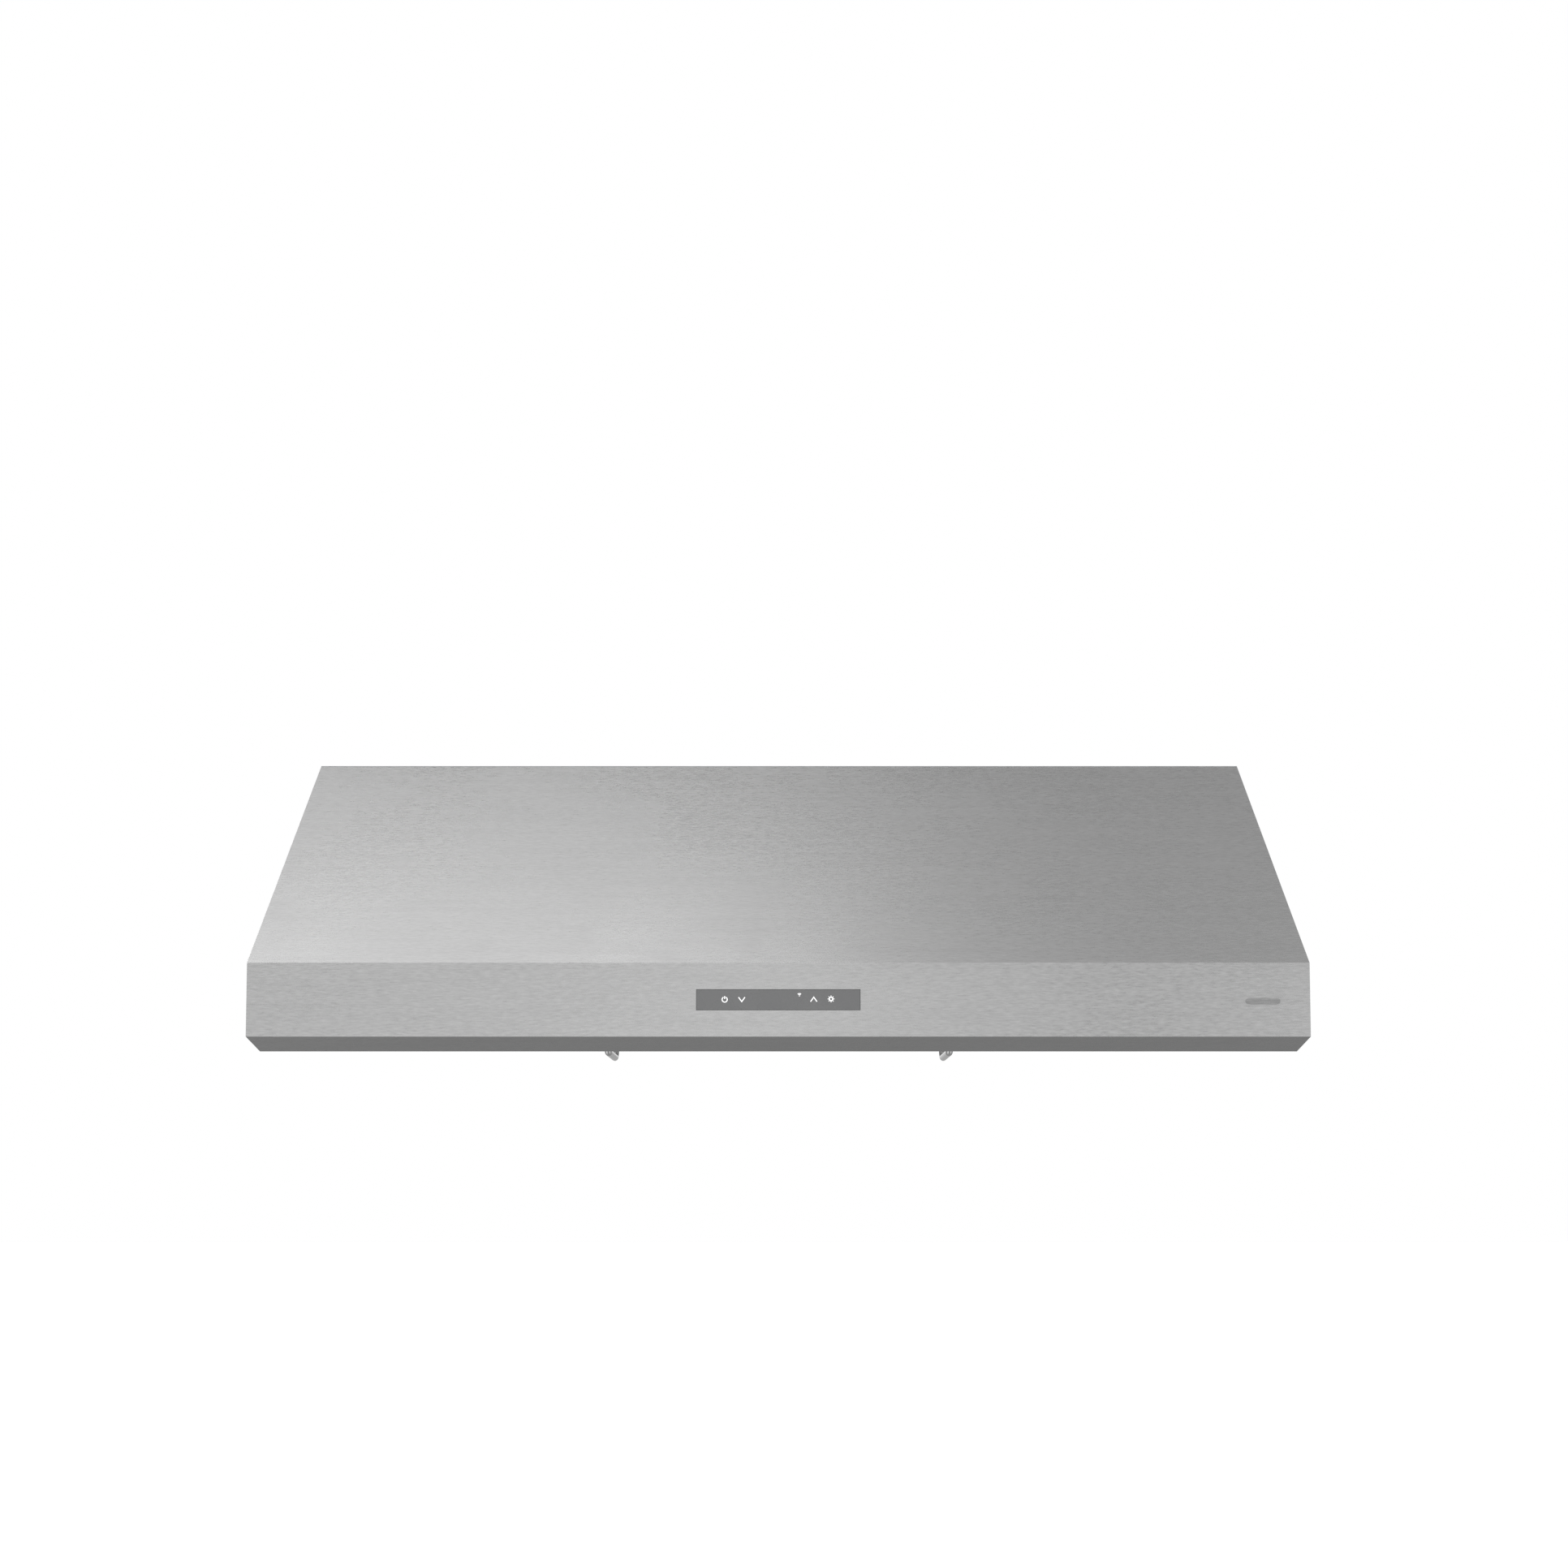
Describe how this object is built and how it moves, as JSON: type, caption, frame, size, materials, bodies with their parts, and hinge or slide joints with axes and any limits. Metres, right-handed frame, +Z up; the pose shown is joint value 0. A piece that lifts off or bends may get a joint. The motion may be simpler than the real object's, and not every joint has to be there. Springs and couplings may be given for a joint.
{
  "type": "under cabinet range hood",
  "caption": "Stainless under cabinet range hood with sloped front, touch strip, drop-down baffle filters, twin blower and round top duct outlet with damper.",
  "frame": {"origin": "centre of the top face's rear edge, where hood, wall and cabinet meet", "axes": "+X to the right seen from the front, +Y out of the back towards the wall, +Z up"},
  "size_m": [0.911, 0.592, 0.2916],
  "materials": {
    "brushed_stainless": "satin, brushed along the width",
    "galvanised_sheet": "dull zinc spangle",
    "filter_stainless": "satin",
    "polished_handle": "polished",
    "zinc_fittings": "bright zinc",
    "touch_strip": "glossy grey",
    "black_plastic": "fine grained",
    "board_green": "solder-masked",
    "lamp_diffuser": "frosted",
    "lamp_metal": "cast",
    "motor_paint": "satin black",
    "rubber": "matt",
    "capacitor_shell": "smooth",
    "steel_shaft": "ground",
    "spring_steel": "bright"
  },
  "bodies": {
    "hood_body": {"front_canopy": "brushed_stainless", "left_side_panel": "brushed_stainless", "right_side_panel": "brushed_stainless", "top_panel": "galvanised_sheet", "back_panel": "galvanised_sheet", "lamp_panel": "brushed_stainless", "left_filler_panel": "brushed_stainless", "right_filler_panel": "brushed_stainless", "centre_mullion": "brushed_stainless", "rear_ledge": "brushed_stainless", "duct_collar": "galvanised_sheet", "damper_rod": "steel_shaft", "outlet_plenum": "galvanised_sheet", "left_scroll": "galvanised_sheet", "right_scroll": "galvanised_sheet", "left_inlet_plate": "galvanised_sheet", "right_inlet_plate": "galvanised_sheet", "motor_body": "motor_paint", "motor_cradle": "galvanised_sheet", "motor_rubber_rings": "rubber", "capacitor": "capacitor_shell", "capacitor_clip": "galvanised_sheet", "power_board_box": "galvanised_sheet", "power_board_cover": "galvanised_sheet", "power_board": "board_green", "junction_box": "galvanised_sheet", "junction_box_cover": "galvanised_sheet", "conduit_bushing": "black_plastic", "control_glass": "touch_strip", "control_housing": "black_plastic", "control_board": "board_green", "left_lamp_housing": "lamp_metal", "left_lamp_bezel": "polished_handle", "left_lamp_lens": "lamp_diffuser", "right_lamp_housing": "lamp_metal", "right_lamp_bezel": "polished_handle", "right_lamp_lens": "lamp_diffuser", "filter_hinge_brackets": "zinc_fittings", "filter_catches": "spring_steel", "tray_clips": "spring_steel", "panel_screws": "zinc_fittings", "blower_screws": "zinc_fittings"},
    "left_filter": {"left_filter_frame": "filter_stainless", "left_filter_lower_baffles": "filter_stainless", "left_filter_upper_baffles": "filter_stainless", "left_filter_handle": "polished_handle", "left_filter_handle_nuts": "zinc_fittings", "left_filter_hinge_pins": "zinc_fittings"},
    "right_filter": {"right_filter_frame": "filter_stainless", "right_filter_lower_baffles": "filter_stainless", "right_filter_upper_baffles": "filter_stainless", "right_filter_handle": "polished_handle", "right_filter_handle_nuts": "zinc_fittings", "right_filter_hinge_pins": "zinc_fittings"},
    "blower_rotor": {"motor_shaft": "steel_shaft", "left_impeller": "galvanised_sheet", "right_impeller": "galvanised_sheet"},
    "front_damper": {"front_damper_flap": "galvanised_sheet"},
    "rear_damper": {"rear_damper_flap": "galvanised_sheet"},
    "tray": {"grease_tray": "brushed_stainless"}
  },
  "joints": [
    {"name": "left_filter_swing", "type": "hinge", "parent": "hood_body", "child": "left_filter", "pos_m": [-0.162, -0.112, -0.2584], "axis": [1, 0, 0], "range_deg": [0, 80]},
    {"name": "right_filter_swing", "type": "hinge", "parent": "hood_body", "child": "right_filter", "pos_m": [0.162, -0.112, -0.2584], "axis": [1, 0, 0], "range_deg": [0, 80]},
    {"name": "blower_spin", "type": "hinge", "parent": "hood_body", "child": "blower_rotor", "pos_m": [0, -0.128, -0.141], "axis": [1, 0, 0], "continuous": true},
    {"name": "front_damper_swing", "type": "hinge", "parent": "hood_body", "child": "front_damper", "pos_m": [0, -0.128, -0.03], "axis": [-1, 0, 0], "range_deg": [0, 75]},
    {"name": "rear_damper_swing", "type": "hinge", "parent": "hood_body", "child": "rear_damper", "pos_m": [0, -0.128, -0.03], "axis": [1, 0, 0], "range_deg": [0, 75]},
    {"name": "tray_drop", "type": "slide", "parent": "hood_body", "child": "tray", "axis": [0, 0, -1], "range_m": [0, 0.06]}
  ]
}
